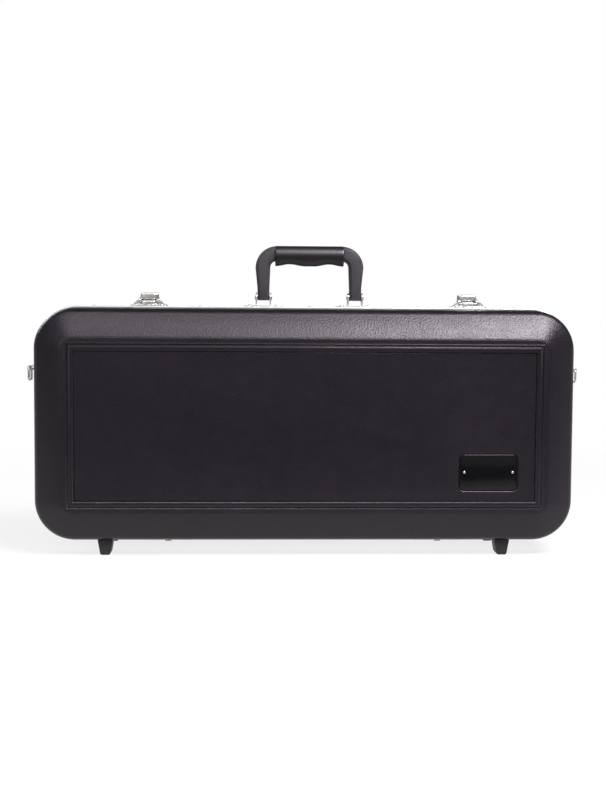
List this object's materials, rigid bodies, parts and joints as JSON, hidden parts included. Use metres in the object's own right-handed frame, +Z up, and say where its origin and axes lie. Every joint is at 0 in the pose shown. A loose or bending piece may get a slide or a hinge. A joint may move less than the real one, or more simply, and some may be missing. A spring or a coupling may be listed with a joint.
{
  "type": "alto saxophone case",
  "caption": "Hard rectangular case with moulded half shells in an aluminium frame, hinged lid, draw latches, swing handle and shaped plush beds inside.",
  "frame": {"origin": "on the floor, under the middle of the case standing on its feet", "axes": "+X along the case to the viewer's right, +Y from the lid to the back, +Z up to the handle"},
  "size_m": [0.6908, 0.18, 0.3806],
  "materials": {
    "moulded_abs": "fine leather grain",
    "valance_aluminium": "satin extruded",
    "nickel_plate": "nickel plated",
    "nickel_rivet": "nickel plated",
    "steel_pin": "drawn",
    "handle_nylon": "fine matt",
    "grip_rubber": "soft satin",
    "foot_plastic": "matt",
    "foam_plush": "short pile plush",
    "badge_enamel": "satin, bare"
  },
  "bodies": {
    "base": {"base_shell": "moulded_abs", "base_valance": "valance_aluminium", "base_valance_splice": "valance_aluminium", "base_cradle": "foam_plush", "foot_base_left": "foot_plastic", "foot_base_right": "foot_plastic", "handle_pins": "steel_pin", "hinge_left_pin": "steel_pin", "hinge_right_pin": "steel_pin", "latch_left_pivots": "steel_pin", "latch_right_pivots": "steel_pin", "handle_bracket_rivets": "nickel_rivet", "hinge_rivets_base": "nickel_rivet", "latch_plate_rivets": "nickel_rivet", "strap_clip_rivets": "nickel_rivet", "handle_bracket_left": "nickel_plate", "handle_bracket_right": "nickel_plate", "hinge_left_base_leaf": "nickel_plate", "hinge_right_base_leaf": "nickel_plate", "latch_left_base_plate": "nickel_plate", "latch_right_base_plate": "nickel_plate", "strap_clip_left": "nickel_plate", "strap_clip_right": "nickel_plate"},
    "lid": {"lid_shell": "moulded_abs", "lid_valance": "valance_aluminium", "lid_valance_splice": "valance_aluminium", "lid_pad": "foam_plush", "badge_plate": "badge_enamel", "badge_rivets": "nickel_rivet", "foot_lid_left": "foot_plastic", "foot_lid_right": "foot_plastic", "hinge_left_lid_leaf": "nickel_plate", "hinge_right_lid_leaf": "nickel_plate", "hinge_rivets_lid": "nickel_rivet", "latch_left_keeper": "nickel_plate", "latch_right_keeper": "nickel_plate", "keeper_rivets": "nickel_rivet"},
    "handle": {"handle_frame": "handle_nylon", "handle_grip": "grip_rubber"},
    "latch_left_lever": {"latch_left_lever": "nickel_plate", "latch_left_hook_pin": "steel_pin"},
    "latch_left_hook": {"latch_left_hook": "nickel_plate"},
    "strap_ring_left": {"strap_ring_left": "nickel_plate"},
    "latch_right_lever": {"latch_right_lever": "nickel_plate", "latch_right_hook_pin": "steel_pin"},
    "latch_right_hook": {"latch_right_hook": "nickel_plate"},
    "strap_ring_right": {"strap_ring_right": "nickel_plate"}
  },
  "joints": [
    {"name": "lid_hinge", "type": "hinge", "parent": "base", "child": "lid", "pos_m": [0, -0.016, 0.0129], "axis": [1, 0, 0], "range_deg": [0, 100]},
    {"name": "handle_swing", "type": "hinge", "parent": "base", "child": "handle", "pos_m": [0.006, -0.0084, 0.316], "axis": [1, 0, 0], "range_deg": [-88, 88]},
    {"name": "latch_left_lever_swing", "type": "hinge", "parent": "base", "child": "latch_left_lever", "pos_m": [-0.194, -0.011, 0.3115], "axis": [1, 0, 0], "range_deg": [0, 95]},
    {"name": "latch_left_hook_swing", "type": "hinge", "parent": "latch_left_lever", "child": "latch_left_hook", "pos_m": [-0.194, -0.00536, 0.30945], "axis": [1, 0, 0], "range_deg": [-101, 0]},
    {"name": "latch_right_lever_swing", "type": "hinge", "parent": "base", "child": "latch_right_lever", "pos_m": [0.206, -0.011, 0.3115], "axis": [1, 0, 0], "range_deg": [0, 95]},
    {"name": "latch_right_hook_swing", "type": "hinge", "parent": "latch_right_lever", "child": "latch_right_hook", "pos_m": [0.206, -0.00536, 0.30945], "axis": [1, 0, 0], "range_deg": [-101, 0]},
    {"name": "strap_ring_left_swing", "type": "hinge", "parent": "base", "child": "strap_ring_left", "pos_m": [-0.3425, -0.0084, 0.227], "axis": [0, 1, 0], "range_deg": [-8, 150]},
    {"name": "strap_ring_right_swing", "type": "hinge", "parent": "base", "child": "strap_ring_right", "pos_m": [0.3425, -0.0084, 0.227], "axis": [0, -1, 0], "range_deg": [-8, 150]}
  ],
  "couplings": [
    {"joint": "latch_left_hook_swing", "follows": "latch_left_lever_swing", "ratio": -1.053},
    {"joint": "latch_right_hook_swing", "follows": "latch_right_lever_swing", "ratio": -1.053}
  ]
}
